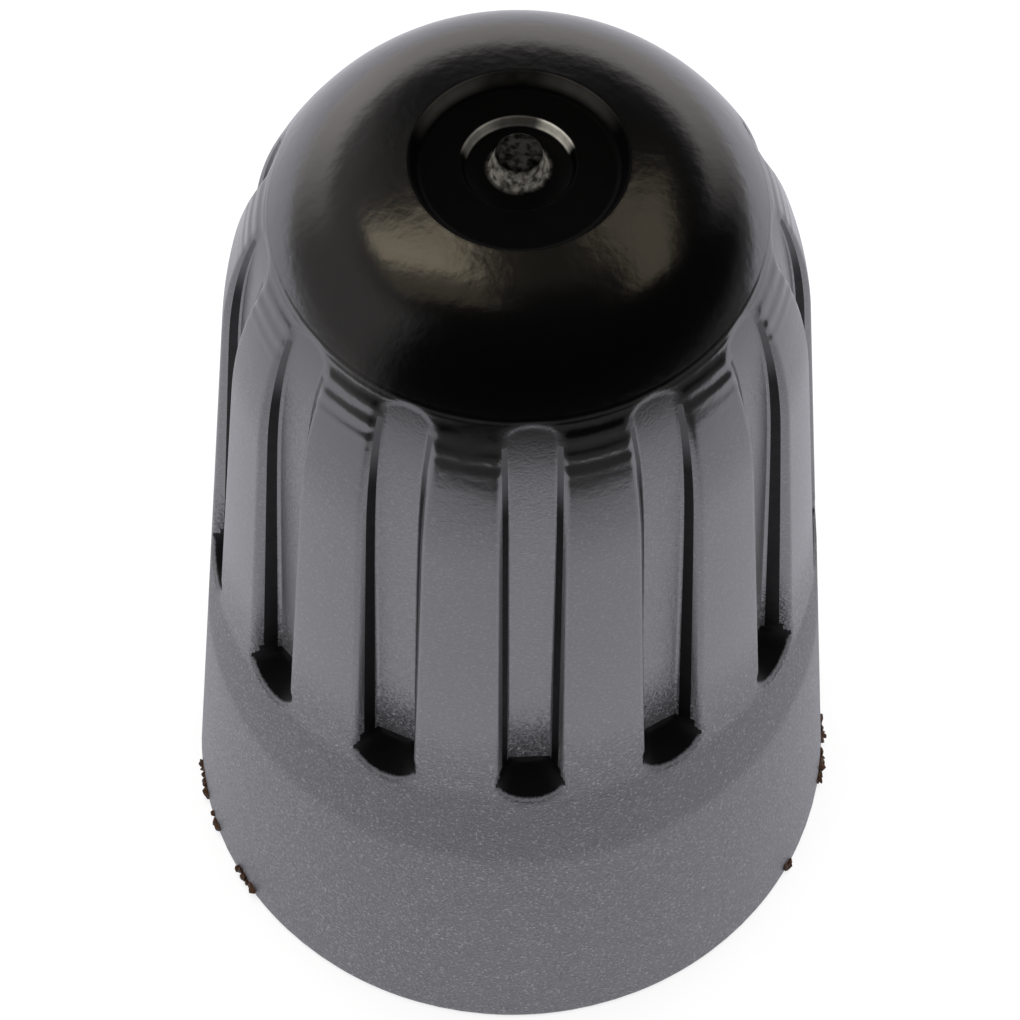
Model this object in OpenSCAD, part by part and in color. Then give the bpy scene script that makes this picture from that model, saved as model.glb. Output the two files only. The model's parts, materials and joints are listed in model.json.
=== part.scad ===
/* [Cap] */
// Outside diameter of the mouth
mouth_d = 10.2; // [9.6:0.1:12]
// Height from the mouth to the dish rim on the crown
rim_h = 15.62; // [15:0.1:18]
// Slope of the side, in degrees, narrowing towards the crown
side_draft = 4.86; // [3:0.1:5.5]
// How far below the dish rim the side begins to round into the shoulder
shoulder_drop = 3.52; // [3:0.02:4.6]
// How far below the dish rim the shoulder meets the dome
dome_drop = 1.07; // [0.8:0.01:1.3]
// How far the dome's edge stands inside the line of the side
dome_inset = 0.463; // [0.3:0.001:0.6]
// How far the dome crowns above the dish rim before it turns in
crown_rise = 0.3; // [0.1:0.05:0.4]

/* [Dish and gate] */
// Diameter of the dish in the crown
dish_d = 2.9; // [2.5:0.1:3.3]
// Depth of the dish at its flat floor
dish_depth = 0.22; // [0.1:0.02:0.4]
// Diameter of the flat floor of the dish
dish_floor_d = 1.6; // [1.2:0.1:2]
// Height of the step around the flat floor
dish_step = 0.06; // [0.02:0.01:0.1]
// Diameter of the broken gate stub at its foot
gate_d = 0.84; // [0.6:0.02:1]
// Diameter of the gate stub at its torn top
gate_top_d = 0.68; // [0.4:0.02:0.8]
// Height of the gate stub
gate_h = 0.4; // [0.1:0.05:0.5]

/* [Flutes] */
// Number of flutes around the cap
flutes = 13; // [8:1:14]
// Width of a flute where it meets the side
flute_w = 0.94; // [0.6:0.02:1.1]
// Width of a flute at its flat floor
flute_floor_w = 0.56; // [0.3:0.02:0.7]
// Depth of a flute, square to the side
flute_depth = 0.45; // [0.3:0.01:0.5]
// Height of the lower end of a flute on the side
flute_start_h = 6.37; // [6.3:0.05:8]
// Slope of the scooped lower end, in degrees below level
scoop_slope = 42; // [30:1:55]
// Width of the scoop where it breaks out of the side
scoop_w = 1.14; // [0.8:0.02:1.3]

/* [Bore] */
// Wall at the mouth, from the crests of the thread to the outside
mouth_wall = 1.656; // [1.3:0.001:2.6]
// Height of the lead-in chamfer at the mouth
lead_in = 0.55; // [0.3:0.05:0.8]
// Height at which the thread ends and the seal's seat begins
thread_end_h = 6.2; // [5.5:0.1:6.2]
// How far the seal's seat is cut out beyond the crests of the thread
seat_step = 0.156; // [0.1:0.001:0.2]
// Width of the ledge between the seat and the blind chamber above it
ledge_w = 1; // [0.8:0.05:1.4]
// Thickness of the crown, from the floor of the dish to the chamber's ceiling
crown_t = 2.1; // [1.6:0.1:4]
// Width of the slope around the chamber's ceiling
chamber_slope = 0.7; // [0.3:0.1:1.2]

/* [Seal] */
// Thickness of the rubber seal
seal_t = 1.2; // [0.8:0.1:1.5]
// Width of the seal, from its hole to its outside
seal_w = 1.46; // [1.1:0.02:1.7]
// Gap around the seal in its seat
seal_gap = 0.04; // [0.02:0.01:0.06]

/* [Mould flash] */
// How far the flash stands out of the mouth's edge
flash_w = 0.1; // [0.05:0.01:0.15]
// Height of the flash up the side
flash_h = 0.22; // [0.1:0.02:0.3]

/* [Hidden] */
// facets of a turned face
$fn = 96;
// overrun that lets a cut break clean through a face
over = 0.5;
// steps in a curved stretch of the outline
curve_steps = 10;
// stretches of the mouth that carry flash: [middle, half the span], in degrees from the front
flash_arcs = [[-88, 7], [-66, 3], [56, 3], [78, 4], [92, 6]];

mouth_r = mouth_d / 2;
taper = tan(side_draft);
function side_r(z) = mouth_r - z * taper;

// Heights that hang from the dish rim
shoulder_h = rim_h - shoulder_drop;
dome_h = rim_h - dome_drop;
dish_floor_z = rim_h - dish_depth;
chamber_h = dish_floor_z - crown_t;

// The inside follows the mouth: minor diameter of the valve thread, seat, chamber and seal
thread_minor_d = mouth_d - 2 * mouth_wall;
seat_d = thread_minor_d + 2 * seat_step;
seat_top_h = thread_end_h + seal_t;
chamber_d = seat_d - 2 * ledge_w;
seal_d = seat_d - 2 * seal_gap;

// A curve from p to q that leaves p and reaches q heading for the handle h
function curve(p, h, q, n = curve_steps) =
    [for (i = [1:n]) let (t = i / n) (1 - t) * (1 - t) * p + 2 * t * (1 - t) * h + t * t * q];

// Shoulder: it leaves the side along the side's own slope
shoulder_foot = [side_r(shoulder_h), shoulder_h];
shoulder_handle_h = shoulder_h + 0.61 * (dome_h - shoulder_h);
shoulder_handle = [side_r(shoulder_handle_h), shoulder_handle_h];
dome_edge = [side_r(dome_h) - dome_inset, dome_h];

// Dome: it goes on from the shoulder, crowns, and turns in to the dish rim
dish_rim = [dish_d / 2, rim_h];
dome_handle = [dish_rim[0] + 0.6 * (dome_edge[0] - dish_rim[0]), rim_h + crown_rise];

// Dish: a shallow bowl with a flat floor a step below it
bowl_foot = [dish_floor_d / 2 + 0.05, dish_floor_z + dish_step];
bowl_handle = [0.5 * (dish_rim[0] + bowl_foot[0]), bowl_foot[1]];

function outline() = concat(
    [[0, 0], [mouth_r, 0]],
    [shoulder_foot],
    curve(shoulder_foot, shoulder_handle, dome_edge),
    curve(dome_edge, dome_handle, dish_rim),
    curve(dish_rim, bowl_handle, bowl_foot, 5),
    [[dish_floor_d / 2, dish_floor_z], [0, dish_floor_z]]
);

// The moulded body before its flutes and bore
module turned_body() {
    rotate_extrude() polygon(outline());
}

// The stub where the plastic ran into the mould, torn off at the top
module gate_stub() {
    translate([0, 0, dish_floor_z - over])
        cylinder(d = gate_d, h = over);
    translate([0, 0, dish_floor_z])
        cylinder(d1 = gate_d, d2 = gate_top_d, h = gate_h);
}

// Places its children on the side at the foot of flute number i, with Z up the slope of the
// side, -Y straight out of it and the side's surface at y = 0
module at_flute(i) {
    rotate([0, 0, i * 360 / flutes])
        translate([0, -side_r(flute_start_h), flute_start_h])
            rotate([-side_draft, 0, 0])
                children();
}

// One flute: a flat-floored channel with sloping walls, parallel to the side, that runs out
// through the shoulder, and a scoop at its foot
module flute_cut() {
    wall_run = (flute_w - flute_floor_w) / 2;
    open_w = flute_w / 2 + wall_run * over / flute_depth;
    scoop_run = flute_depth * tan(scoop_slope);
    // straight channel, from the inner end of the scoop upwards
    translate([0, 0, scoop_run])
        linear_extrude(height = rim_h)
            polygon([
                [-flute_floor_w / 2, flute_depth], [flute_floor_w / 2, flute_depth],
                [open_w, -over], [-open_w, -over]
            ]);
    scoop_cut(scoop_run);
}

// Round scoop that widens outwards and downwards from the flute's floor
module scoop_cut(scoop_run) {
    slant = norm([scoop_run, flute_depth]);
    reach = slant * (1 + over / flute_depth);
    r_in = flute_floor_w / 2;
    r_out = r_in + (scoop_w / 2 - r_in) * reach / slant;
    // the cone's lowest line runs from the floor's end to the foot of the flute
    cone_half = asin((r_out - r_in) / reach);
    translate([0, flute_depth, scoop_run])
        rotate([90 + scoop_slope - cone_half, 0, 0])
            translate([0, r_in, 0])
                cylinder(r1 = r_in, r2 = r_out, h = reach * cos(cone_half), $fn = 32);
}

module flute_cuts() {
    for (i = [0:flutes - 1]) at_flute(i) flute_cut();
}

// Lead-in, threaded length at its minor diameter, seat of the seal and blind chamber
module bore() {
    thread_r = thread_minor_d / 2;
    translate([0, 0, -over])
        cylinder(r = thread_r, h = thread_end_h + 2 * over);
    translate([0, 0, -over])
        cylinder(r1 = thread_r + lead_in + over, r2 = thread_r, h = lead_in + over);
    translate([0, 0, thread_end_h])
        cylinder(d = seat_d, h = seal_t);
    translate([0, 0, seat_top_h - over])
        cylinder(d = chamber_d, h = chamber_h - chamber_slope - seat_top_h + over);
    translate([0, 0, chamber_h - chamber_slope])
        cylinder(d1 = chamber_d, d2 = chamber_d - 2 * chamber_slope, h = chamber_slope);
}

// Thin fins squeezed out between the halves of the mould at the mouth's edge
module mould_flash() {
    for (arc = flash_arcs)
        rotate([0, 0, arc[0] - arc[1] - 90])
            rotate_extrude(angle = 2 * arc[1])
                polygon([
                    [mouth_r - flash_w, 0], [mouth_r + flash_w, 0],
                    [mouth_r + flash_w, flash_h / 2], [mouth_r - flash_w, flash_h]
                ]);
}

module cap() {
    color([0.06, 0.06, 0.07]) {
        difference() {
            union() {
                turned_body();
                gate_stub();
                mould_flash();
            }
            flute_cuts();
            bore();
        }
    }
}

// Flat rubber washer that the mouth of the valve stem presses on
module seal_ring() {
    color([0.12, 0.12, 0.12])
        translate([0, 0, thread_end_h])
            difference() {
                cylinder(d = seal_d, h = seal_t);
                translate([0, 0, -over])
                    cylinder(d = seal_d - 2 * seal_w, h = seal_t + 2 * over);
            }
}

cap();
seal_ring();
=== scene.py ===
# %% [markdown]
# # A tyre valve cap
# The object is the tall black plastic cap that screws on the valve of a car tyre. It is one injection
# moulding about 16 mm high: a round skirt with a fine matt grain, 13 flutes to grip it by, and a glossy dome
# with a small dish where the plastic ran into the mould. Inside are the valve's thread and a rubber seal.
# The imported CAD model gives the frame, so every piece below is made in that same frame.

import json
from math import asin, cos, dist, pi, radians, sin, tan

import bpy
from mathutils import Matrix, Quaternion, Vector


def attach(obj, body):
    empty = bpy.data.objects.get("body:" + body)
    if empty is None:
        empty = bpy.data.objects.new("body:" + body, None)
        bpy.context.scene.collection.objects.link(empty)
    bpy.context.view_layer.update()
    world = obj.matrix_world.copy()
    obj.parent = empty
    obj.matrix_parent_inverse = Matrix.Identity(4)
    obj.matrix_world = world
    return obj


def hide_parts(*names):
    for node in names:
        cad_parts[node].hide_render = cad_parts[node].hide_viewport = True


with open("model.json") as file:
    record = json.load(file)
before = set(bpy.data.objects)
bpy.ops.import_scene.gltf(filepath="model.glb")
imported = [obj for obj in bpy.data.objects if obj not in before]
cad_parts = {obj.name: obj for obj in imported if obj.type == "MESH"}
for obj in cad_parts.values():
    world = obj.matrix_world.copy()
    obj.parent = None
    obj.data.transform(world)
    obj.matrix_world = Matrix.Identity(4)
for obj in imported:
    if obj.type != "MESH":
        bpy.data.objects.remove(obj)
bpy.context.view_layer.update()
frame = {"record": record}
MM = 0.001

# %% [markdown]
# The camera comes first, because everything after it is judged through it. The photograph was taken from
# close up, about 58 mm away and 59 degrees above level, so the crown looks larger than the mouth.
# The camera's place is worked out from that distance and angle, and it leans by less than a degree.

# %% Camera
CAMERA_AWAY = 57.8
CAMERA_RISE = radians(58.87)
CAMERA_SWING = radians(-3.64)
CAMERA_ROLL = 0.012
CAMERA_PIVOT_Z = 6.63
AIM = Vector((-0.067, 0.0, 7.03))
LENS = 135.9


def camera_place():
    """The camera's place in millimetres, and the point that it looks at."""
    swing = Matrix.Rotation(CAMERA_SWING, 3, "Z")
    level = CAMERA_AWAY * cos(CAMERA_RISE)
    place = Vector((0, -level, CAMERA_PIVOT_Z + CAMERA_AWAY * sin(CAMERA_RISE)))
    return swing @ place, swing @ AIM


def make_camera():
    place, aim = camera_place()
    data = bpy.data.cameras.new("camera")
    data.lens = LENS
    data.clip_start = 0.001
    camera = bpy.data.objects.new("camera", data)
    bpy.context.collection.objects.link(camera)
    camera.location = place * MM
    camera.rotation_mode = "QUATERNION"
    look = (aim - place).to_track_quat("-Z", "Y")
    camera.rotation_quaternion = look @ Quaternion((0, 0, 1), CAMERA_ROLL)
    bpy.context.scene.camera = camera
    return place


print("camera at, in mm:", [round(value, 1) for value in make_camera()])

# %% [markdown]
# These are the cap's real sizes in millimetres. Most are the ones that its CAD model was built from. The
# crown, the dish and the scoops are refined here by up to 0.2 mm, and the bore is read from the packed
# record. The meshes are made in millimetres too, and brought to metres at the end, because numbers near one
# are easy to read and exact to work with.

# %% Sizes of the cap
MOUTH_R = 5.1
MOUTH_FLAT_R = 4.75
MOUTH_INNER_R = 4.35
MOUTH_ROUND = 0.12
RIM_H = 15.62
DRAFT = radians(4.86)
SHOULDER_H = RIM_H - 3.52
DOME_H = RIM_H - 1.07
DOME_INSET = 0.463
SHOULDER_REACH = 0.61
DOME_LEAVE = (-0.643, 1.130)
DOME_REACH = (0.632, -0.100)
CROWN_H = RIM_H + 0.18
DISH_R = 1.44
DISH_SHELF_R = DISH_R - 0.12
DISH_SHELF_H = RIM_H - 0.05
DISH_FLOOR_H = RIM_H - 0.22
DISH_FLOOR_R = 0.71
DISH_FLAT_R = 0.58
DISH_BACK = 0.1
BEAD_H = 14.66
GATE_R = 0.4
GATE_TOP_R = 0.29
GATE_H = 0.4
GATE_PLACE = (0.005, 0.155)
FLUTES = 13
FLUTE_W = 0.94
FLUTE_FLOOR_W = 0.56
FLUTE_DEPTH = 0.45
FLUTE_FOOT_H = 6.37
SCOOP_SLOPE = radians(42)
SCOOP_W = 1.01
THREAD_R = frame["record"]["mounts"][0]["dims"]["r_mm"]
LEAD_IN = 0.55
THREAD_END_H = 6.2
SEAT_R = 3.6
SEAL_T = 1.2
CHAMBER_R = 2.6
CHAMBER_H = 13.3
CHAMBER_SLOPE = 0.7


def side_r(z):
    """Radius of the tapered side at height z."""
    return MOUTH_R - z * tan(DRAFT)


DOME_R = side_r(DOME_H) - DOME_INSET
print("side at the shoulder:", round(side_r(SHOULDER_H), 3), "dome edge:", round(DOME_R, 3))

# %% [markdown]
# A mould maker would turn the cap's outline on a lathe and then cut the flutes, and the mesh is made the same
# way. First comes a plain turned blank. Its outline is a list of points (radius, height) from the rim of the
# mouth, up the side and over the shoulder and dome into the dish. The dish has steep walls, a level shelf,
# and a deeper floor with the torn stub in the middle. Curves are sampled from formulas, more closely where
# the flutes will start and end, so that the cuts there come out clean.

# %% Outline of the outside


def steps(start, stop, count):
    """Evenly spaced numbers after start, up to stop."""
    return [start + (stop - start) * (i + 1) / count for i in range(count)]


def curve(p, handle, q, shares):
    """Points on the curve that leaves p and reaches q heading for the handle."""
    points = []
    for t in shares:
        a = (1 - t) * (1 - t)
        b = 2 * t * (1 - t)
        points.append(tuple(a * p[i] + b * handle[i] + t * t * q[i] for i in (0, 1)))
    return points


def rounded(before, corner, after, radius, count=4):
    """A corner of the outline, rounded off over about the given radius."""
    ends = []
    for other in (before, after):
        reach = min(1.0, radius / dist(corner, other))
        ends.append(tuple(corner[i] + (other[i] - corner[i]) * reach for i in (0, 1)))
    return [ends[0]] + curve(ends[0], corner, ends[1], steps(0, 1, count))


def side_rows():
    """The rim of the mouth and the side, up to where the shoulder begins. Rows are closest at the scoops."""
    up_the_side = (side_r(0.6), 0.6)
    rows = [(MOUTH_INNER_R, 0), (MOUTH_FLAT_R, 0)]
    rows += rounded((MOUTH_FLAT_R, 0), (MOUTH_R, 0), up_the_side, MOUTH_ROUND)
    scoop_low = FLUTE_FOOT_H - 0.12
    scoop_high = FLUTE_FOOT_H + 1.08
    heights = steps(MOUTH_ROUND, scoop_low, 13)
    heights += steps(scoop_low, scoop_high, 38)
    heights += steps(scoop_high, SHOULDER_H, 10)
    return rows + [(side_r(z), z) for z in heights]


def shoulder_rows():
    """The shoulder, which curves in to the dome's edge. Rows are closest where the flutes run out."""
    handle_h = SHOULDER_H + SHOULDER_REACH * (DOME_H - SHOULDER_H)
    foot = (side_r(SHOULDER_H), SHOULDER_H)
    shares = steps(0, 0.66, 12) + steps(0.66, 1, 26)
    return curve(foot, (side_r(handle_h), handle_h), (DOME_R, DOME_H), shares)


def dome_rows():
    """The dome leaves the shoulder steeply and slopes by about nine degrees where it meets the dish."""
    edge = (DOME_R, DOME_H)
    rim = (DISH_R, CROWN_H)
    leave = (edge[0] + DOME_LEAVE[0], edge[1] + DOME_LEAVE[1])
    reach = (rim[0] + DOME_REACH[0], rim[1] + DOME_REACH[1])
    rows = []
    for t in steps(0, 0.06, 8) + steps(0.06, 1, 28):
        shares = ((1 - t) ** 3, 3 * t * (1 - t) ** 2, 3 * t * t * (1 - t), t ** 3)
        pulls = list(zip(shares, (edge, leave, reach, rim)))
        rows.append(tuple(sum(share * point[i] for share, point in pulls) for i in (0, 1)))
    return rows


def crown_rows():
    """Dome, dish, and the torn stub, as far as the middle. Each corner comes with its rounding."""
    dome = dome_rows()
    stub_h = DISH_FLOOR_H + GATE_H
    corners = [
        (dome[-1], 0.025),
        ((DISH_SHELF_R, DISH_SHELF_H), 0.07),
        ((DISH_FLOOR_R + 0.05, DISH_SHELF_H - 0.01), 0.02),
        ((DISH_FLOOR_R, DISH_FLOOR_H + 0.05), 0.03),
        ((DISH_FLAT_R, DISH_FLOOR_H), 0.1),
        ((GATE_R, DISH_FLOOR_H - 0.01), 0.04),
        ((GATE_TOP_R, stub_h), 0.05),
        ((0, stub_h), 0),
    ]
    places = [dome[-2]] + [place for place, size in corners]
    rows = dome[:-1]
    for before, (corner, size), after in zip(places, corners, places[2:]):
        rows += rounded(before, corner, after, size, 6)
    return rows + [(r, stub_h) for r in steps(GATE_TOP_R - 0.04, 0.03, 6)]


side = side_rows()
shoulder = shoulder_rows()
crown = crown_rows()
print("rows of the outside:", len(side), "side,", len(shoulder), "shoulder,", len(crown), "crown")

# %% [markdown]
# The inside is turned too: a lead-in that guides the valve in, the bore for the thread, the seat of the seal,
# and the blind chamber above it. It runs from the mouth's rim up to the middle of the chamber's ceiling.

# %% Outline of the inside
THREAD_PITCH = 0.794
ROWS_A_TURN = 13
LEAD_IN_ROUND = 0.06
SEAT_ROUND = 0.03


def inside_rows():
    chamfer_r = THREAD_R + LEAD_IN
    rows = rounded((MOUTH_INNER_R, 0), (chamfer_r, 0), (THREAD_R, LEAD_IN), LEAD_IN_ROUND, 3)
    rows += [(chamfer_r - z, z) for z in steps(LEAD_IN_ROUND, LEAD_IN, 9)]
    turns = (THREAD_END_H - LEAD_IN) / THREAD_PITCH
    rows += [(THREAD_R, z) for z in steps(LEAD_IN, THREAD_END_H - 0.02, round(turns * ROWS_A_TURN))]
    seat_top = THREAD_END_H + SEAL_T
    wall_top = CHAMBER_H - CHAMBER_SLOPE
    ceiling_r = CHAMBER_R - CHAMBER_SLOPE
    corners = [(THREAD_R, THREAD_END_H), (SEAT_R, THREAD_END_H), (SEAT_R, seat_top), (CHAMBER_R, seat_top)]
    corners += [(CHAMBER_R, wall_top), (ceiling_r, CHAMBER_H), (0, CHAMBER_H)]
    for before, corner, after in zip([rows[-1]] + corners, corners, corners[1:]):
        rows += rounded(before, corner, after, SEAT_ROUND, 2)
    return rows + [(ceiling_r * share, CHAMBER_H) for share in (0.7, 0.4, 0.15)]


inside = inside_rows()
print("rows of the inside:", len(inside))

# %% [markdown]
# A ring of the blank has more points near each flute than on the ridges between. They are set by their
# distance from the flute's middle line, so the straight edges of the flutes run along the mesh's own lines.
# Away from the flutes half as many will do, so there the rings skip every second point. That needs an even
# number of points around: there are 36 for each flute.

# %% Rings of the blank
FLUTE_LINES = [0.0, 0.09, 0.17, 0.22, 0.25, 0.275, 0.295, 0.32, 0.36, 0.4, 0.44, 0.47, 0.5, 0.54, 0.6, 0.69]
RIDGE_LINES = 5
FROZEN_R = 3.3
FULL_FROM_H = FLUTE_FOOT_H - 0.3
FULL_TO_R = 3.2


def ring_angles(r):
    """Angles of a ring's points from the front, counted towards +X. Near the axis they stay as they are."""
    offsets = [asin(line / max(r, FROZEN_R)) for line in FLUTE_LINES]
    gap = 2 * pi / FLUTES - 2 * offsets[-1]
    ridge = [offsets[-1] + gap * (i + 1) / (RIDGE_LINES + 1) for i in range(RIDGE_LINES)]
    one = [-offset for offset in reversed(offsets[1:])] + offsets + ridge
    return [angle + flute * 2 * pi / FLUTES for flute in range(FLUTES) for angle in one]


def ring(r, z, every):
    """One ring of the blank, with all its points or every nth of them."""
    return [(r * sin(a), -r * cos(a), z) for a in ring_angles(r)[::every]]


def blank_mesh(name, rows):
    """Skins the rings one after another. A row is (radius, height, every nth point, 1 for outside), and both
    ends close in a point on the axis."""
    points = []
    outer = []
    rings = []
    faces = []
    for r, z, every, is_outer in rows:
        loop = ring(r, z, every)
        rings.append(range(len(points), len(points) + len(loop)))
        points += loop
        outer += [is_outer] * len(loop)
    for low, high in zip(rings, rings[1:]):
        faces += skin(low, high)
    for end, row, turned in ((rings[0], rows[0], True), (rings[-1], rows[-1], False)):
        points.append((0, 0, row[1]))
        outer.append(row[3])
        tip = len(points) - 1
        for a, b in zip(end, list(end[1:]) + [end[0]]):
            faces.append((b, a, tip) if turned else (a, b, tip))
    mesh = bpy.data.meshes.new(name)
    mesh.from_pydata(points, [], faces)
    mesh.attributes.new("outer", "FLOAT", "POINT").data.foreach_set("value", outer)
    mesh.shade_smooth()
    return mesh


def skin(low, high):
    """Faces between two rings, of which one may have half as many points."""
    faces = []
    n, m = len(low), len(high)
    if n == m:
        return [(low[i], low[(i + 1) % n], high[(i + 1) % n], high[i]) for i in range(n)]
    for i in range(min(n, m)):
        j = 2 * i
        k = (i + 1) % min(n, m)
        if n > m:
            faces.append((low[j], low[j + 1], high[i]))
            faces.append((low[j + 1], high[k], high[i]))
            faces.append((low[j + 1], low[(j + 2) % n], high[k]))
        else:
            faces.append((low[i], high[j + 1], high[j]))
            faces.append((low[i], low[k], high[j + 1]))
            faces.append((low[k], high[(j + 2) % m], high[j + 1]))
    return faces


rows = [(r, z, 2, 0.0) for r, z in reversed(inside)]
rows += [(r, z, 1 if z > FULL_FROM_H else 2, 1.0) for r, z in side + shoulder]
rows += [(r, z, 1 if r > FULL_TO_R else 2, 1.0) for r, z in crown]
blank = bpy.data.objects.new("turned_blank", blank_mesh("turned_blank", rows))
bpy.context.collection.objects.link(blank)
print("blank:", len(blank.data.vertices), "points,", len(blank.data.polygons), "faces")

# %% [markdown]
# Geometry Nodes do the cutting. Their arithmetic needs a node for each plus and times, which is hard to read,
# so a small class stands for a number in a node tree: adding two of them adds the node and its links.
# It serves for shaders too, because both kinds of tree share the Math node.

# %% Arithmetic in node trees


class Amount:
    """A number in a node tree, which can be used in a formula."""

    def __init__(self, tree, socket):
        self.tree = tree
        self.socket = socket

    def math(self, operation, *others):
        made = self.tree.nodes.new("ShaderNodeMath")
        made.operation = operation
        for place, value in enumerate((self,) + others):
            plug(self.tree, value, made.inputs[place])
        return Amount(self.tree, made.outputs[0])

    def __add__(self, other):
        return self.math("ADD", other)

    def __sub__(self, other):
        return self.math("SUBTRACT", other)

    def __mul__(self, other):
        return self.math("MULTIPLY", other)

    def __truediv__(self, other):
        return self.math("DIVIDE", other)

    def __neg__(self):
        return self * -1.0

    def root(self):
        return self.math("SQRT")

    def size(self):
        return self.math("ABSOLUTE")

    def lowest(self, other, blend=0.0):
        """The smaller of the two, with a soft change from one to the other."""
        return self.math("SMOOTH_MIN", other, blend) if blend else self.math("MINIMUM", other)

    def highest(self, other, blend=0.0):
        return self.math("SMOOTH_MAX", other, blend) if blend else self.math("MAXIMUM", other)

    def rising(self, low, high):
        """0 below low, 1 above high, and a soft ramp between."""
        made = self.tree.nodes.new("ShaderNodeMapRange")
        made.interpolation_type = "SMOOTHSTEP"
        plug(self.tree, self, made.inputs["Value"])
        plug(self.tree, low, made.inputs["From Min"])
        plug(self.tree, high, made.inputs["From Max"])
        return Amount(self.tree, made.outputs["Result"])

    def falling(self, low, high):
        """1 below low, 0 above high, and a soft ramp between."""
        return (-self + high).rising(0.0, high - low)

    def inverse(self):
        """What is left of 1."""
        return -self + 1.0


def length(x, y):
    """The length of a flat vector."""
    return (x * x + y * y).root()


def plug(tree, value, socket):
    """Puts a plain value or a node's output into a socket."""
    if isinstance(value, Amount):
        value = value.socket
    if isinstance(value, bpy.types.NodeSocket):
        tree.links.new(value, socket)
    else:
        socket.default_value = value


def node(tree, kind, settings=None, **inputs):
    """Adds a node, sets it, and fills its inputs. An underscore in an input's name stands for a space."""
    made = tree.nodes.new(kind)
    for key, value in (settings or {}).items():
        setattr(made, key, value)
    for key, value in inputs.items():
        plug(tree, value, made.inputs[key.replace("_", " ")])
    return made


def split(tree, vector):
    """The x, y and z of a vector, as amounts."""
    parts = node(tree, "ShaderNodeSeparateXYZ", Vector=vector)
    return [Amount(tree, socket) for socket in parts.outputs]


def join(tree, x, y, z):
    return node(tree, "ShaderNodeCombineXYZ", X=x, Y=y, Z=z).outputs[0]


print("arithmetic in node trees is ready")

# %% [markdown]
# A node tree on a mesh takes a geometry in, and gives one out that ends in Realize Instances and Set
# Material. Its sizes are named inputs of the modifier. The two functions below open and close such a tree,
# and a third adds it to an object with its sizes, which are found by each socket's identifier. Others keep
# an amount on the mesh under a name, read it back, and turn the result into a plain mesh.

# %% Node trees on a mesh


def open_tree(name, sizes):
    """A new tree with a mesh input and one named number for each size. Returns the tree and its inputs."""
    tree = bpy.data.node_groups.new(name, "GeometryNodeTree")
    tree.interface.new_socket("Geometry", in_out="INPUT", socket_type="NodeSocketGeometry")
    tree.interface.new_socket("Geometry", in_out="OUTPUT", socket_type="NodeSocketGeometry")
    for size in sizes:
        tree.interface.new_socket(size, in_out="INPUT", socket_type="NodeSocketFloat")
    entry = tree.nodes.new("NodeGroupInput")
    return tree, entry.outputs["Geometry"], [Amount(tree, entry.outputs[size]) for size in sizes]


def close_tree(tree, geometry, material):
    whole = node(tree, "GeometryNodeRealizeInstances", Geometry=geometry)
    painted = node(tree, "GeometryNodeSetMaterial", Geometry=whole.outputs[0], Material=material)
    node(tree, "NodeGroupOutput", Geometry=painted.outputs[0])


def add_tree(piece, tree, sizes):
    """Puts the tree on the piece as a modifier and fills in its sizes."""
    modifier = piece.modifiers.new(tree.name, "NODES")
    modifier.node_group = tree
    for item in tree.interface.items_tree:
        if item.in_out == "INPUT" and item.name in sizes:
            modifier[item.identifier] = float(sizes[item.name])


def store(tree, geometry, name, amount):
    """Keeps an amount on the mesh's points under a name, for the material to read."""
    kept = node(tree, "GeometryNodeStoreNamedAttribute", Geometry=geometry, Name=name)
    plug(tree, amount, kept.inputs["Value"])
    return kept.outputs["Geometry"]


def named(tree, name):
    return Amount(tree, node(tree, "GeometryNodeInputNamedAttribute", Name=name).outputs["Attribute"])


def finished(piece, name, material):
    """Turns what the modifiers made into a plain mesh in metres, on a new object at the origin."""
    graph = bpy.context.evaluated_depsgraph_get()
    mesh = bpy.data.meshes.new_from_object(piece.evaluated_get(graph))
    mesh.name = name
    mesh.transform(Matrix.Scale(MM, 4))
    mesh.materials.clear()
    mesh.materials.append(material)
    made = bpy.data.objects.new(name, mesh)
    bpy.context.collection.objects.link(made)
    bpy.data.objects.remove(piece)
    return made


print("node trees on a mesh are ready")

# %% [markdown]
# Everything on the outside is one black plastic, but the mould gave it several finishes: the dome is glossy,
# the floors of the flutes are satin, and the skirt has a fine matt grain that fades out up the ridges. The
# recesses get a nearly black copy that hardly mirrors anything, which is painted shade. The materials are
# started here, because the trees name them, and filled in once the shape is there to look at.

# %% Materials, started


def new_material(name):
    material = bpy.data.materials.new(name)
    material.use_nodes = True
    return material


plastic = new_material("black_moulded_plastic")
painted_shade_plastic = new_material("dull_recess_plastic")
rubber = new_material("black_seal_rubber")
crumb_plastic = new_material("torn_flash_plastic")
print("materials:", plastic.name, painted_shade_plastic.name, rubber.name, crumb_plastic.name)

# %% [markdown]
# The flutes are what one grips the cap by. Each is a straight channel with a flat floor and sloping walls.
# The floor leans in less than the tapered side does, so the channel grows shallower towards the top. There
# it ends in a round arch, and the floor bends in to meet the dome. At its foot a round scoop slopes down and
# out. The tree finds each point's nearest flute, works out how deep the tool would have cut there, and pushes
# the point back to that depth. A soft minimum instead of a plain one rounds the edges, as a real mould does.
# How deep each point was pushed is stored for the material.

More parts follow.
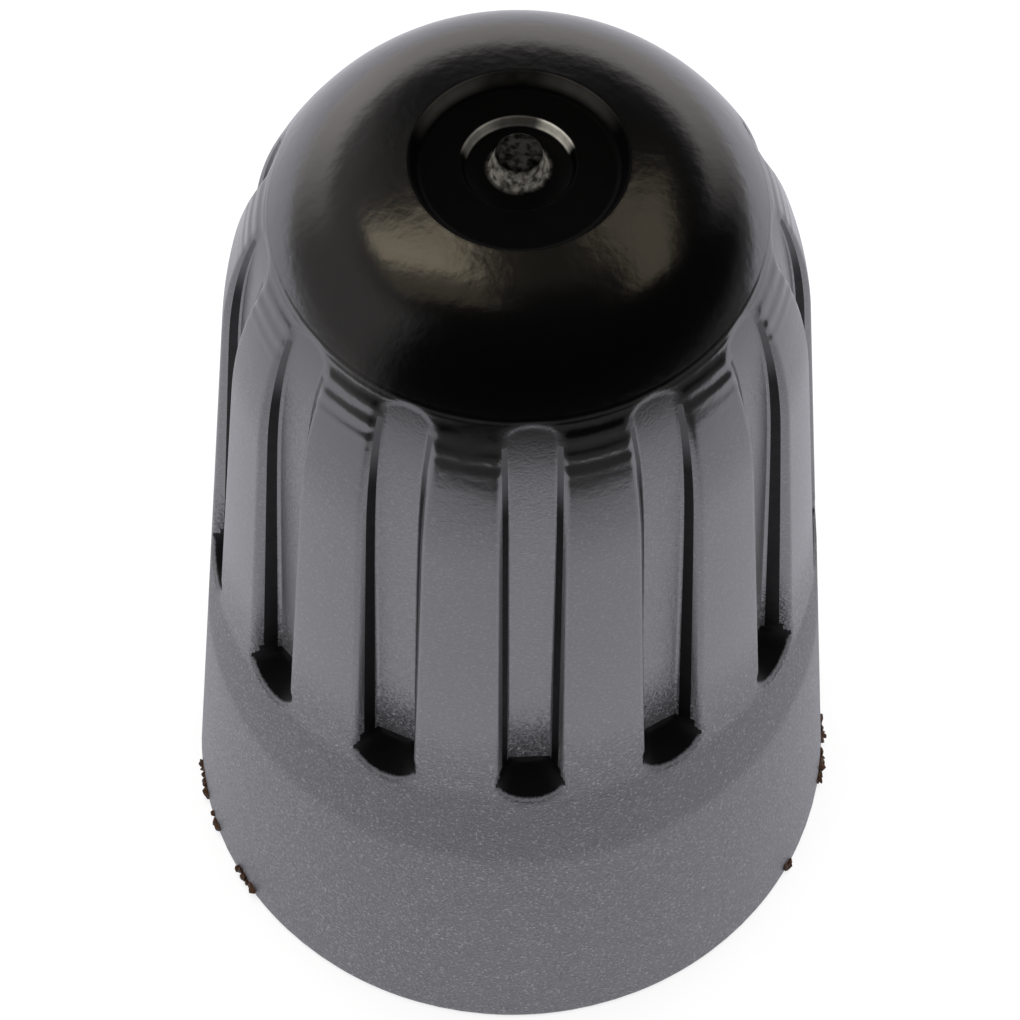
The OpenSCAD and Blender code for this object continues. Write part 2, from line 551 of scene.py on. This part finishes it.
# %% Flutes
FLUTE_SIZES = {
    "Number of flutes": FLUTES,
    "Width at the side": FLUTE_W,
    "Width of the floor": FLUTE_FLOOR_W,
    "Depth": FLUTE_DEPTH,
    "Foot height": FLUTE_FOOT_H,
    "Run of the scoop": FLUTE_DEPTH * tan(SCOOP_SLOPE),
    "Width of the scoop": SCOOP_W,
    "Arch height": 14.42,
    "Edge rounding": 0.3,
}
FLOOR_START_R = side_r(FLUTE_FOOT_H + 0.36)
FLOOR_RISE = BEAD_H - FLUTE_FOOT_H - 0.4
FLOOR_LEAN = 0.37
FLOOR_BEND = 0.385
BEND_POWER = 8.0
ARCH_STRETCH = 2.0
WALL_STEEPNESS = 0.9
FOOT_BLEND = 0.1


def around_axis(tree):
    """Each point's x, y, z, and distance from the axis."""
    x, y, z = split(tree, node(tree, "GeometryNodeInputPosition").outputs[0])
    return x, y, z, length(x, y)


def angle_from_front(x, y):
    return x.math("ARCTAN2", -y)


def scoop_share(u, along, run, r_floor, r_side, depth):
    """How deep the scoop cuts, as a share of the full depth. Its cone has radius r_side at the side and
    r_floor at the floor, and its lowest line rises by run between them, so the share t solves
    (along - middle(t))^2 + u^2 = radius(t)^2, which is a quadratic."""
    shrink = r_floor - r_side
    rise = run + shrink - depth * tan(DRAFT)
    a = shrink * shrink - rise * rise
    above = along - r_side
    b = -(above * rise + r_side * shrink)
    c = above * above + u * u - r_side * r_side
    inner = (b * b + a * c).highest(0.0)
    return (b - inner.root()) / a


def flute_tree(material):
    tree, mesh, sizes = open_tree("cut flutes", list(FLUTE_SIZES))
    count, width, floor_w, depth, foot, run, scoop_w, arch, rounding = sizes
    x, y, z, r = around_axis(tree)
    angle = angle_from_front(x, y)
    turn = (angle * count / (2 * pi)).math("ROUND") / count * (2 * pi)
    u = r * (angle - turn).math("SINE")
    out = r * (angle - turn).math("COSINE")
    along = (z - foot) / cos(DRAFT)
    up = ((z - foot - run) / FLOOR_RISE).highest(0.0)
    bend = up.math("POWER", BEND_POWER) * FLOOR_BEND
    floor_r = -depth / cos(DRAFT) + FLOOR_START_R - up * FLOOR_LEAN - bend
    room = (out - floor_r).highest(0.0)
    above = (z - arch).highest(0.0) * ARCH_STRETCH
    from_edge = width / 2 - length(u, above)
    wall = from_edge / ((width - floor_w) / 2 * WALL_STEEPNESS)
    end = (along - run) / FOOT_BLEND
    channel = wall.lowest(1.0, 0.12).lowest(end, 0.16)
    scoop = scoop_share(u, along, run, floor_w / 2, scoop_w / 2, depth)
    share = channel.highest(scoop.lowest(1.0, 0.12), 0.06).highest(0.0, rounding)
    outer = named(tree, "outer")
    push = -share * room * outer
    offset = join(tree, push * turn.math("SINE"), -push * turn.math("COSINE"), 0.0)
    mesh = store(tree, mesh, "flute", share.rising(0.05, 0.6) * outer * z.rising(foot, foot + run))
    mesh = store(tree, mesh, "wall", (share.rising(0.0, 0.25) - share.rising(0.75, 1.0)) * outer)
    mesh = store(tree, mesh, "scoop", scoop.highest(0.0).lowest(1.0) * end.falling(-0.5, 1.0) * outer)
    mesh = node(tree, "GeometryNodeSetPosition", Geometry=mesh, Offset=offset).outputs[0]
    close_tree(tree, mesh, material)
    return tree


add_tree(blank, flute_tree(plastic), FLUTE_SIZES)
print("flutes:", FLUTES, "every", round(360 / FLUTES, 1), "degrees")

# %% [markdown]
# The thread inside is the standard one of a car tyre valve, right-handed, 32 turns to the inch. A thread is a
# groove that climbs by its pitch with each turn, so its depth depends on height minus angle. The same trick
# as for the flutes cuts it: the tree pushes the bore's points outwards, and the groove runs out at the top.

# %% Valve thread
THREAD_SIZES = {
    "Bore radius": THREAD_R,
    "Groove radius": 3.87,
    "Pitch": THREAD_PITCH,
    "Last height": THREAD_END_H - 0.25,
}
GROOVE_SHARE = 0.75
FLANK_SHARE = 0.625
RUN_OUT = 0.7


def thread_tree(material):
    tree, mesh, sizes = open_tree("cut thread", list(THREAD_SIZES))
    bore_r, groove_r, pitch, last = sizes
    x, y, z, r = around_axis(tree)
    turn = z / pitch - angle_from_front(x, y) / (2 * pi)
    from_groove = (turn.math("FRACT") - 0.5).size() * 2
    flank = ((-from_groove + GROOVE_SHARE) / FLANK_SHARE).lowest(1.0, 0.15).highest(0.0, 0.15)
    fade = (last - z).rising(0.0, RUN_OUT)
    in_bore = named(tree, "outer").inverse() * (last - z).rising(-0.01, 0.01)
    groove = bore_r + (groove_r - bore_r) * flank * fade
    push = (r.highest(groove, 0.02) - r) * in_bore
    outwards = push / r.highest(0.01)
    offset = join(tree, outwards * x, outwards * y, 0.0)
    mesh = node(tree, "GeometryNodeSetPosition", Geometry=mesh, Offset=offset).outputs[0]
    close_tree(tree, mesh, material)
    return tree


add_tree(blank, thread_tree(plastic), THREAD_SIZES)
print("thread:", round((THREAD_END_H - LEAD_IN) / THREAD_PITCH, 1), "turns")

# %% [markdown]
# In the dish stands the stub of the gate, where the plastic was torn off when the cap left the mould. The
# dish's floor and the stub sit a little off centre, and the stub's top is rough. The tree moves them and lets
# a noise dig into the top. A noise texture gives the same pattern each time, and the input named Pattern
# picks another one.

# %% Torn gate
GATE_SIZES = {
    "Aside": GATE_PLACE[0],
    "Back": GATE_PLACE[1] - DISH_BACK,
    "Dish back": DISH_BACK,
    "Roughness": 0.05,
    "Grain": 9.0,
    "Pattern": 3.0,
}


def gate_tree(material):
    tree, mesh, sizes = open_tree("torn gate", list(GATE_SIZES))
    aside, back, dish_back, rough, grain, pattern = sizes
    z, r = around_axis(tree)[2:]
    stub_h = DISH_FLOOR_H + GATE_H
    on_crown = z.rising(DISH_FLOOR_H - 0.1, DISH_FLOOR_H - 0.05) * named(tree, "outer")
    near = r.falling(GATE_R + 0.05, DISH_FLOOR_R) * on_crown
    on_top = z.rising(stub_h - 0.08, stub_h - 0.01) * near
    place = node(tree, "GeometryNodeInputPosition").outputs[0]
    lumps = node(tree, "ShaderNodeTexNoise", {"noise_dimensions": "4D"}, Vector=place, W=pattern, Scale=grain)
    lumps.inputs["Detail"].default_value = 4.0
    dug = Amount(tree, lumps.outputs[0]) * rough * -1.0 * on_top
    on_floor = r.falling(0.85, 1.25) * on_crown
    offset = join(tree, aside * near, back * near + dish_back * on_floor, dug)
    mesh = node(tree, "GeometryNodeSetPosition", Geometry=mesh, Offset=offset).outputs[0]
    close_tree(tree, mesh, material)
    return tree


add_tree(blank, gate_tree(plastic), GATE_SIZES)
cap = finished(blank, "cap_moulding", plastic)
print("cap:", len(cap.data.polygons), "faces,", round(cap.dimensions.z / MM, 2), "mm high")

# %% [markdown]
# The walls of the flutes, the scoops and the dish get a material of their own, nearly black and hardly
# mirroring anything, which is painted shade for the recesses. Which faces they are is read from the amounts
# that the flute tree stored.

# %% Faces of the recesses
LEAST_SCOOP = 0.02
LEAST_WALL = 0.25
LEAST_FLUTE = 0.5
WALL_TOP_H = 14.3


def face_means(mesh, name):
    """The mean of a stored amount over each face's corners."""
    amounts = [item.value for item in mesh.attributes[name].data]
    return [sum(amounts[i] for i in face.vertices) / len(face.vertices) for face in mesh.polygons]


def mark_recesses(piece, material):
    """Gives the painted-shade material to the recessed faces, and says how many there are."""
    mesh = piece.data
    mesh.materials.append(material)
    means = [face_means(mesh, name) for name in ("wall", "flute", "scoop")]
    count = 0
    for face, wall, flute, scoop in zip(mesh.polygons, *means):
        middle = face.center / MM
        in_dish = middle.z > DISH_FLOOR_H - 0.1 and middle.xy.length < DISH_R + 0.015
        in_flute = flute > LEAST_FLUTE or middle.z < FLUTE_FOOT_H + 0.4
        deep_wall = wall > LEAST_WALL and in_flute and middle.z < WALL_TOP_H
        # These faces get the painted-shade material, which hardly mirrors anything.
        if in_dish or deep_wall or scoop > LEAST_SCOOP:
            face.material_index = 1
            count += 1
    return count


print("recessed faces:", mark_recesses(cap, painted_shade_plastic))

# %% [markdown]
# Specks of flash cling to the mouth's edge: paper-thin plastic that squeezed out between the halves of the
# mould and crumbled. They are instances of one rough grain, scattered along short stretches of the edge. Each
# stretch is given by its middle and half its length, in degrees from the front. A seed in the tree makes the
# grains fall in the same places each time.

# %% Flash at the mouth
FLASH_ARCS = [(-82, 3.5), (-73, 1.5), (-60, 2.5), (58, 1), (79, 3), (87, 2.5)]
FLASH_SIZES = {
    "Spacing": 0.055,
    "Grain size": 0.09,
    "Spread up": 0.08,
    "Seed": 7,
}
FLASH_H = 0.15
LINES_AN_ARC = 6
SPREAD_ASIDE = 0.03
FULL_TURN = 6.28


def flash_path():
    """Short stretches of the mouth's edge, as a mesh of lines, in millimetres."""
    points = []
    edges = []
    r = MOUTH_R - 0.01
    for middle, half in FLASH_ARCS:
        for i in range(LINES_AN_ARC + 1):
            a = radians(middle - half + 2 * half * i / LINES_AN_ARC)
            points.append((r * sin(a), -r * cos(a), FLASH_H))
            if i:
                edges.append((len(points) - 2, len(points) - 1))
    mesh = bpy.data.meshes.new("flash_path")
    mesh.from_pydata(points, edges, [])
    path = bpy.data.objects.new("flash_path", mesh)
    bpy.context.collection.objects.link(path)
    return path


def random_vector(tree, low, high, seed):
    """A vector for each point, with every part between those of low and high."""
    made = node(tree, "FunctionNodeRandomValue", {"data_type": "FLOAT_VECTOR"})
    plug(tree, low, made.inputs[0])
    plug(tree, high, made.inputs[1])
    plug(tree, seed, made.inputs["Seed"])
    return made.outputs[0]


def flash_tree(material):
    tree, mesh, sizes = open_tree("crumbs of flash", list(FLASH_SIZES))
    spacing, grain, spread, seed = sizes
    line = node(tree, "GeometryNodeMeshToCurve", Mesh=mesh).outputs[0]
    dots = node(tree, "GeometryNodeCurveToPoints", {"mode": "LENGTH"}, Curve=line, Length=spacing)
    shift_low = join(tree, -SPREAD_ASIDE, -SPREAD_ASIDE, -spread * 0.6)
    shift = random_vector(tree, shift_low, join(tree, SPREAD_ASIDE, SPREAD_ASIDE, spread), seed)
    points = node(tree, "GeometryNodeSetPosition", Geometry=dots.outputs[0], Offset=shift).outputs[0]
    ball = node(tree, "GeometryNodeMeshIcoSphere", Radius=grain, Subdivisions=2).outputs["Mesh"]
    place = node(tree, "GeometryNodeInputPosition").outputs[0]
    lumps = node(tree, "ShaderNodeTexNoise", Vector=place, Scale=14.0).outputs[0]
    dent = Amount(tree, lumps) * 1.4 - 0.7
    normal = node(tree, "GeometryNodeInputNormal").outputs[0]
    rough = node(tree, "ShaderNodeVectorMath", {"operation": "SCALE"}, Vector=normal, Scale=dent * grain)
    ball = node(tree, "GeometryNodeSetPosition", Geometry=ball, Offset=rough.outputs[0]).outputs[0]
    turns = join(tree, FULL_TURN, FULL_TURN, FULL_TURN)
    turned = random_vector(tree, join(tree, 0.0, 0.0, 0.0), turns, seed + 1.0)
    sized = random_vector(tree, join(tree, 0.4, 0.4, 0.3), join(tree, 1.2, 1.0, 0.8), seed + 2.0)
    crumbs = node(tree, "GeometryNodeInstanceOnPoints", Points=points, Instance=ball, Scale=sized)
    plug(tree, turned, crumbs.inputs["Rotation"])
    close_tree(tree, crumbs.outputs[0], material)
    return tree


path = flash_path()
add_tree(path, flash_tree(crumb_plastic), FLASH_SIZES)
crumbs = finished(path, "mouth_flash", crumb_plastic)
print("flash:", len(crumbs.data.polygons), "faces")

# %% [markdown]
# The seal is a flat rubber washer, stamped from sheet, that sits in the seat above the thread. It is turned
# from a rounded rectangle, with its faces a little worn in where the valve stem presses.

# %% Rubber seal
SEAL_R = SEAT_R - 0.04
SEAL_HOLE_R = SEAL_R - 1.46
SEAL_ROUND = 0.12
SEAL_WEAR = 0.03
SEAL_SIDES = 120


def seal_mesh():
    low, high = THREAD_END_H, THREAD_END_H + SEAL_T
    corners = [(SEAL_HOLE_R, low), (SEAL_R, low), (SEAL_R, high), (SEAL_HOLE_R, high)]
    loop = []
    for i, corner in enumerate(corners):
        loop += rounded(corners[i - 1], corner, corners[(i + 1) % 4], SEAL_ROUND, 4)
    middle = (SEAL_R + SEAL_HOLE_R) / 2
    worn = [(middle - 0.35, low), (middle - 0.1, low + SEAL_WEAR)]
    worn += [(middle + 0.1, low + SEAL_WEAR), (middle + 0.35, low)]
    loop = loop[:5] + worn + loop[5:]
    points = []
    faces = []
    n = len(loop)
    for i in range(SEAL_SIDES):
        a = 2 * pi * i / SEAL_SIDES
        points += [(r * cos(a), r * sin(a), z) for r, z in loop]
        here, there = i * n, (i + 1) % SEAL_SIDES * n
        faces += [(here + j, there + j, there + (j + 1) % n, here + (j + 1) % n) for j in range(n)]
    mesh = bpy.data.meshes.new("seal_washer")
    mesh.from_pydata([tuple(value * MM for value in point) for point in points], [], faces)
    mesh.shade_smooth()
    mesh.materials.append(rubber)
    return mesh


seal = bpy.data.objects.new("seal_washer", seal_mesh())
bpy.context.collection.objects.link(seal)
print("seal:", len(seal.data.polygons), "faces")

# %% [markdown]
# Now the plastic itself. Its colour is nearly black, and what one sees is gloss, so the finish is a matter of
# roughness and relief. Masks from the height and from the stored flute depth tell the finishes apart. The
# grain is a fine noise in the relief, with a few paler specks, and faint turning rings from the mould show
# just under the dome. Noise scales count cells to the metre, so the fine one has 24 to the millimetre.

# %% Black moulded plastic
MICRON = 0.000001
FINE = 24000.0
MIDDLING = 9000.0
COARSE = 5200.0
PATCHES = 700.0
GRAIN_ENDS = (6.3, 8.6)
BAND_BEGINS = (4.5, 4.9)
BAND_ENDS = (6.3, 6.6)
POLISH_BEGINS = (12.9, 14.0)
SATIN_ENDS = (13.2, 14.2)
SPECKLED_ENDS = (7.2, 7.9)
RINGS_BEGIN = (13.7, 14.1)
RINGS_END = (14.55, 14.62)
RING_H = 14.435
RING_TURN = 24.2


def shader_parts(material):
    """The material's tree, its main shader, and the place on the object in metres."""
    tree = material.node_tree
    body = tree.nodes["Principled BSDF"]
    place = node(tree, "ShaderNodeTexCoord").outputs["Object"]
    return tree, body, place


def noise(tree, place, scale, detail=2.0):
    return Amount(tree, node(tree, "ShaderNodeTexNoise", Vector=place, Scale=scale, Detail=detail).outputs[0])


def relief(tree, height, strength, microns, below=None):
    """Adds a layer of relief over the one below."""
    made = node(tree, "ShaderNodeBump", Height=height, Strength=strength, Distance=microns * MICRON)
    if below is not None:
        plug(tree, below, made.inputs["Normal"])
    return made.outputs[0]


def attribute(tree, name):
    return Amount(tree, node(tree, "ShaderNodeAttribute", {"attribute_name": name}).outputs["Fac"])


def paint_plastic(material):
    tree, body, place = shader_parts(material)
    z = split(tree, place)[2] / MM
    fine = noise(tree, place, FINE, 3.0)
    coarse = noise(tree, place, COARSE)
    patchy = noise(tree, place, PATCHES, 1.0)
    flute = attribute(tree, "flute")
    ridge = flute.inverse()
    scoop = attribute(tree, "scoop").rising(0.0, 0.3)
    off_scoop = scoop.inverse()
    grained = z.falling(*GRAIN_ENDS)
    band = z.rising(*BAND_BEGINS) * z.falling(*BAND_ENDS)
    polished = z.rising(*POLISH_BEGINS) * ridge
    low_floor = flute * z.falling(*SPECKLED_ENDS) * off_scoop
    satin = polished.inverse() * off_scoop * z.falling(*SATIN_ENDS)
    wave = ((z - RING_H) * RING_TURN + coarse * 0.5 + patchy * 1.5).math("COSINE") * patchy.rising(0.25, 0.5)
    rings = wave * (z.rising(*RINGS_BEGIN) - z.rising(*RINGS_END)) * ridge
    bead = (z - BEAD_H).size().falling(0.0, 0.05)
    normal = relief(tree, rings * 2.0 + bead, 0.5, 5)
    lumpy = low_floor * 0.5 + polished * 0.15 + 0.25
    normal = relief(tree, coarse, lumpy * (scoop * -0.8 + 1.0), 10, normal)
    grain = (grained + flute * 0.08 + low_floor * 0.6 + satin * 0.12) * off_scoop + 0.01
    pits = fine + fine.rising(0.38, 0.44) * 0.3
    normal = relief(tree, pits, grain, 30, normal)
    specks = fine.rising(0.58, 0.68) * (grained + low_floor + 0.4) * satin
    shade = specks * 0.12 + fine.rising(0.35, 0.65) * satin * 0.02 + grained * satin * 0.027 + 0.001
    rough = grained * 0.1 + band * 0.12 + 0.34 - polished * 0.15 - flute * 0.04 - scoop * 0.2
    plug(tree, join(tree, shade, shade, shade * 1.08), body.inputs["Base Color"])
    plug(tree, rough, body.inputs["Roughness"])
    plug(tree, normal, body.inputs["Normal"])
    body.inputs["Specular IOR Level"].default_value = 1.0
    body.inputs["IOR"].default_value = 1.75


paint_plastic(plastic)
print("plastic painted")

# %% [markdown]
# In the recesses the plastic is nearly black and hardly mirrors, which is painted shade. Painted highlights
# stand in for the warm lamps there: on the far side of the dish's rim and of its step, most of all on the
# right, and in lumps on the side of the stub. The walls of the flutes are painted lighter towards the top,
# where they run out, and so are the scoops at their edges, which is a painted reflection of the card.

# %% Recess plastic: painted shade and painted highlights
COOL_TINT = (1.0, 1.0, 1.08)
HIGHLIGHT_TINT = (1.05, 1.0, 0.88)
WALLS_RUN_OUT = (13.0, 13.8)
SCOOP_TOPS = (6.65, 6.75)


def distance(x, y, centre):
    return length(x - centre[0], y - centre[1])


def painted_dish_highlights(x, y, coarse):
    """Painted highlights on the dish: on its rim, and on the step to the deeper floor."""
    from_axis = distance(x, y, (0.0, 0.0))
    from_dish = distance(x, y, (0.0, DISH_BACK)).highest(0.01)
    across = x / from_dish
    back = (y - DISH_BACK) / from_dish
    rim = (from_axis - DISH_R + 0.04).size().falling(0.01, 0.08) * back.rising(0.2, 0.7)
    rim = rim * (across.size().rising(0.1, 0.6) * 0.02 + coarse * 0.014)
    step = (from_dish - DISH_FLOOR_R - 0.03).size().falling(0.025, 0.055)
    right = (across * 0.73 + back * 0.68).rising(0.88, 0.97) * 0.3
    left = (across * -0.71 + back * 0.71).rising(0.85, 0.97) * 0.06
    return rim + step * (right + left + back.rising(0.3, 0.8) * 0.03) * (coarse * 1.2 + 0.4)


def painted_stub_highlight(x, y, z, lumps):
    """The stub's torn side gets a painted highlight in lumps, and its top hardly any."""
    stub = distance(x, y, GATE_PLACE).falling(GATE_R + 0.02, GATE_R + 0.06)
    height = z - DISH_FLOOR_H
    on_side = height.rising(-0.01, 0.03) - height.rising(0.24, 0.34)
    return stub * on_side * (lumps * 0.18 + 0.03) + stub * lumps * 0.012


def painted_flute_reflections(tree, z, fine):
    """Painted reflection of the card on the upper ends of the flutes' walls and on the edges of the scoops.
    """
    run_out = z.rising(*WALLS_RUN_OUT) * 0.1
    scoop = attribute(tree, "scoop") + fine * 0.1 - 0.05
    return run_out + scoop.falling(0.03, 0.14) * z.falling(*SCOOP_TOPS) * 0.16


def paint_recesses(material):
    tree, body, place = shader_parts(material)
    x, y, z = [part / MM for part in split(tree, place)]
    fine = noise(tree, place, FINE, 3.0)
    coarse = noise(tree, place, COARSE)
    lumps = noise(tree, place, MIDDLING, 3.0).rising(0.35, 0.65)
    in_dish = z.rising(DISH_FLOOR_H - 0.1, DISH_FLOOR_H - 0.05)
    # Painted reflection of the card on the walls' upper ends and the scoops' edges, over a nearly black base.
    shade = (painted_flute_reflections(tree, z, fine) + 0.003) * in_dish.inverse() + 0.0005
    # Painted highlights of the lamps, tinted warm, on the dish's rim and step and on the stub's side.
    painted_highlights = (painted_dish_highlights(x, y, coarse) + painted_stub_highlight(x, y, z, lumps)) * in_dish
    tints = [shade * cool + painted_highlights * warm for cool, warm in zip(COOL_TINT, HIGHLIGHT_TINT)]
    plug(tree, join(tree, *tints), body.inputs["Base Color"])
    plug(tree, coarse * 0.2 + 0.35, body.inputs["Roughness"])
    plug(tree, relief(tree, coarse, 0.4, 10), body.inputs["Normal"])
    # So low a specular level is painted shade: the recesses hardly mirror anything.
    body.inputs["Specular IOR Level"].default_value = 0.08


paint_recesses(painted_shade_plastic)
print("recesses painted")

# %% [markdown]
# The rubber is dull and a shade lighter than the plastic. The crumbs of flash are the same plastic torn
# rough, which makes them dull and a little brown.

# %% Rubber and torn plastic


def paint_rubber(material):
    tree, body, place = shader_parts(material)
    grain = noise(tree, place, MIDDLING, 4.0)
    body.inputs["Base Color"].default_value = (0.018, 0.018, 0.019, 1)
    plug(tree, grain * 0.2 + 0.62, body.inputs["Roughness"])
    plug(tree, relief(tree, grain, 0.5, 10), body.inputs["Normal"])


def paint_crumbs(material):
    tree, body, place = shader_parts(material)
    grain = noise(tree, place, 15000.0, 3.0)
    body.inputs["Base Color"].default_value = (0.05, 0.024, 0.012, 1)
    plug(tree, grain * 0.3 + 0.5, body.inputs["Roughness"])
    plug(tree, relief(tree, grain, 0.8, 20), body.inputs["Normal"])


paint_rubber(rubber)
paint_crumbs(crumb_plastic)
print("rubber and crumbs painted")

# %% [markdown]
# Each piece is given to the frame: it rides on the only body, and stands for the CAD solid that it shows in
# more detail.

# %% Pieces on the frame
for piece, slot in ((cap, "cap_plastic"), (crumbs, "cap_plastic"), (seal, "seal_rubber")):
    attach(piece, "root")
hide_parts("cap")
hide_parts("seal_ring")
print("pieces:", cap.name, crumbs.name, seal.name)

# %% [markdown]
# The cap stands on a white card. What makes black plastic visible is what it mirrors, so the card and the
# surroundings matter more than the lamps: the side mirrors the card, and the dome mirrors what is above.
# Three quarters of what the camera and the mirror rays see of the card is its own light. The rest is left to
# the lamps, so that the object's shadow still shows. In mirror rays the card darkens a little further out.

# %% Floor
CARD_R = 150
CARD_MIDDLE = (-30, 117)
CARD_Z = -0.01
CARD_SIDES = 96
OWN_LIGHT = 0.75
CAMERA_WHITE = 1.03
MIRROR_TINT = (0.97, 0.955, 1.08)
DIMMING = (11.0, 18.0)


def card_mesh():
    points = []
    for i in range(CARD_SIDES):
        a = 2 * pi * i / CARD_SIDES
        point = Vector((CARD_MIDDLE[0] + CARD_R * cos(a), CARD_MIDDLE[1] + CARD_R * sin(a), CARD_Z))
        points.append(point * MM)
    mesh = bpy.data.meshes.new("white_card")
    mesh.from_pydata(points, [], [range(CARD_SIDES)])
    return mesh


def ray_kind(tree, name):
    """1 for rays of the named kind, 0 for the rest."""
    return Amount(tree, node(tree, "ShaderNodeLightPath").outputs[name])


def seen_directly(tree):
    """1 for rays from the camera, a mirror or glass, 0 for the rest."""
    mirrored = ray_kind(tree, "Is Glossy Ray").highest(ray_kind(tree, "Is Transmission Ray"))
    return ray_kind(tree, "Is Camera Ray").highest(mirrored)


def paint_card(material):
    tree, body, place = shader_parts(material)
    x, y = [part / MM for part in split(tree, place)[:2]]
    away = length(x, y).rising(*DIMMING)
    camera = ray_kind(tree, "Is Camera Ray")
    strength = away * (camera - 1.0) * 0.2 + 1.0
    tints = [camera * (CAMERA_WHITE - tint) + tint for tint in MIRROR_TINT]
    body.inputs["Base Color"].default_value = (0.85, 0.85, 0.85, 1)
    body.inputs["Roughness"].default_value = 0.9
    body.inputs["Specular IOR Level"].default_value = 0.0
    glow = node(tree, "ShaderNodeEmission", Color=join(tree, *tints), Strength=strength)
    mix = node(tree, "ShaderNodeMixShader", Fac=seen_directly(tree) * OWN_LIGHT)
    plug(tree, body.outputs[0], mix.inputs[1])
    plug(tree, glow.outputs[0], mix.inputs[2])
    plug(tree, mix.outputs[0], tree.nodes["Material Output"].inputs["Surface"])


card_white = new_material("white_card")
paint_card(card_white)
card = bpy.data.objects.new("white_card", card_mesh())
card.data.materials.append(card_white)
bpy.context.collection.objects.link(card)
print("card:", 2 * CARD_R, "mm across")

# %% [markdown]
# The room is white for the camera, and for the object it is dark overhead, bright low down at the back, and
# dim at the left and below. The dome mirrors four soft warm lamps: the brightest at the left, a dimmer one at
# the right, and two faint ones that fill in around them. A large lamp overhead lights the object and the
# card, but is kept out of mirrors.

# %% Room and lamps
ROOM_TINT = (1.05, 1.0, 0.98)
WHITE = (1.0, 1.0, 1.0)
WARM = (1.0, 0.87, 0.64)


def make_world():
    world = bpy.data.worlds.new("room")
    world.use_nodes = True
    tree = world.node_tree
    tree.nodes.clear()
    x, y, z = split(tree, node(tree, "ShaderNodeTexCoord").outputs["Generated"])
    level = length(x, y).highest(0.001)
    back = (y / level).rising(0.25, 1.0) * z.falling(0.36, 0.56)
    left = ((y * 0.35 - x) / level).rising(0.5, 0.8) * z.falling(0.6, 0.95)
    below = z.falling(-0.1, 0.1)
    shade = back * 0.78 + left * 0.17 + below * 0.1 + 0.002
    camera = ray_kind(tree, "Is Camera Ray")
    others = camera.inverse()
    tints = [shade * others * tint + camera for tint in ROOM_TINT]
    light = node(tree, "ShaderNodeBackground", Color=join(tree, *tints), Strength=1.0)
    node(tree, "ShaderNodeOutputWorld", Surface=light.outputs[0])
    bpy.context.scene.world = world


def soft_lamp(name, place, width, height, turned, brightness, colour, glossy=True):
    """A flat lamp that faces down, turned by some degrees. Its place and size are in millimetres, and
    brightness 1 looks white in a mirror."""
    data = bpy.data.lights.new(name, "AREA")
    data.shape = "RECTANGLE"
    data.size = width * MM
    data.size_y = height * MM
    data.energy = brightness * pi * data.size * data.size_y
    data.color = colour
    lamp = bpy.data.objects.new(name, data)
    bpy.context.collection.objects.link(lamp)
    lamp.location = Vector(place) * MM
    lamp.rotation_euler = (0, 0, radians(turned))
    lamp.visible_glossy = glossy
    return lamp


make_world()
soft_lamp("overhead lamp", (0, 20, 260), 260, 260, 0, 6.0, WHITE, glossy=False)
soft_lamp("left lamp", (-57, 52, 166), 84, 44, 5, 0.8, WARM)
soft_lamp("left glow", (-63, 20, 167), 100, 72, 5, 0.18, WARM)
soft_lamp("right lamp", (84, 44, 166), 120, 58, -52, 0.34, WARM)
soft_lamp("glow between", (16, 40, 167), 50, 40, 0, 0.03, WARM)
bpy.context.scene.view_settings.view_transform = "Standard"
print("lamps:", len(bpy.data.lights))
